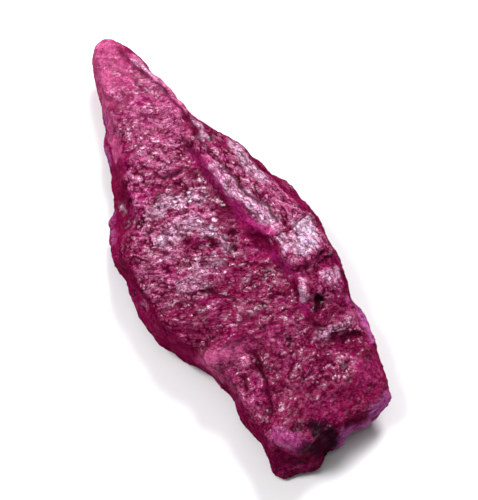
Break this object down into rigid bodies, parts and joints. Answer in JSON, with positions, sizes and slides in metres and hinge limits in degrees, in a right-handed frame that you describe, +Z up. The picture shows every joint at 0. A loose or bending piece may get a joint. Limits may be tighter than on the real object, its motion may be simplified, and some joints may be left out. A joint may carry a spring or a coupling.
{
  "type": "red beryl crystal",
  "caption": "Rough leaf-shaped raspberry beryl stone with a stepped upper face, broken base end and thin rounded tip; lies on its flat underside.",
  "frame": {"origin": "middle of the bounding box's underside, on the surface that the stone lies on", "axes": "+Z up, out of the broad upper face; +Y along the length, from the broken base end to the thin tip; +X across the width, towards the raised terrace"},
  "size_m": [0.0276, 0.0658, 0.0132],
  "materials": {
    "beryl": "rough natural skin with a greasy, frosted sheen, slightly translucent at thin edges"
  },
  "bodies": {
    "root": {"crystal": "beryl"}
  },
  "joints": []
}
